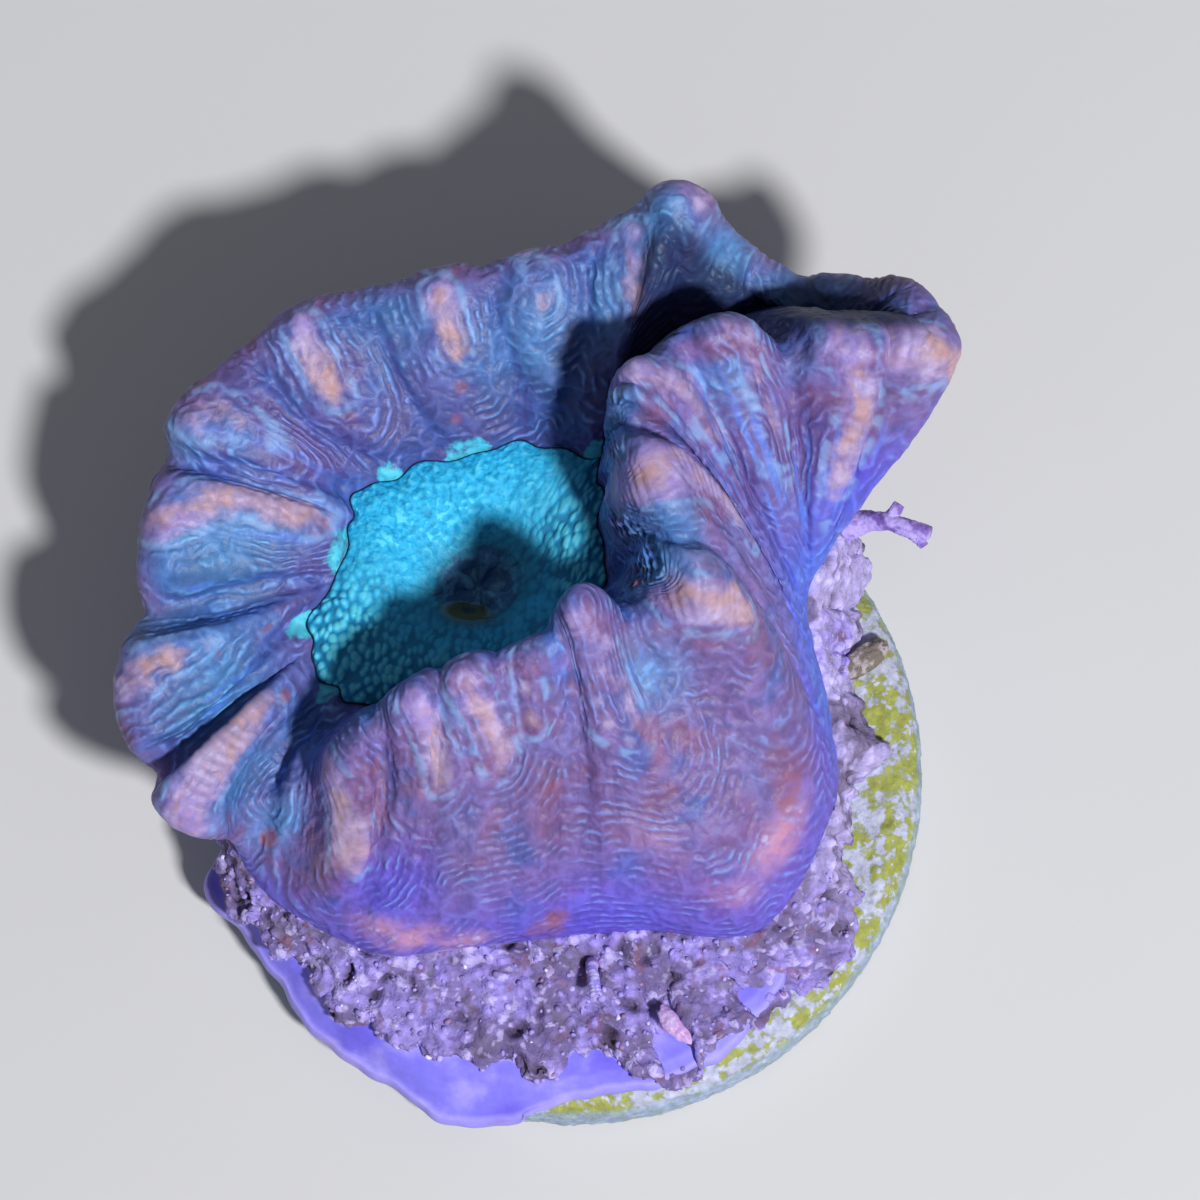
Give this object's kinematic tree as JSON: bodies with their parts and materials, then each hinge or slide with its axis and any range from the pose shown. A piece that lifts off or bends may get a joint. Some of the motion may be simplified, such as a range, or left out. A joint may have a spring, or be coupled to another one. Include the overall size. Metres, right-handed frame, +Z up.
{
  "type": "candy cane coral frag on a disc",
  "caption": "Fleshy stony coral head with a folded, lobed rim round a mouth disc, grown on rubble and glue on a round cement frag disc.",
  "frame": {"origin": "centre of the frag disc's flat underside", "axes": "+Z up, out of the disc's top; +Y towards the back of the coral, where its lobed rim reaches furthest past the disc; +X to the right of it"},
  "size_m": [0.0298, 0.0322, 0.016],
  "materials": {
    "algae_cement": "rough cast cement, mottled yellow-green and pale lilac by an algae film",
    "cured_glue": "smooth, waxy violet-blue with pale torn edges",
    "sand_rubble": "sand and shell grains set in a lilac-grey crust, with dark pits",
    "coral_flesh": "moist wrinkled flesh, mauve with cyan-blue lines, orange-pink lobes and a cyan mouth disc",
    "worm_shell": "chalky violet-white",
    "coralline": "chalky lilac",
    "shell_chip": "worn pink shell",
    "turf_algae": "matted brown-olive threads"
  },
  "bodies": {
    "root": {"frag_disc": "algae_cement", "glue_pad": "cured_glue", "rubble_crust": "sand_rubble", "coral_head": "coral_flesh", "worm_tube": "worm_shell", "coralline_twig": "coralline", "shell_chip": "shell_chip", "turf_algae": "turf_algae"}
  },
  "joints": []
}
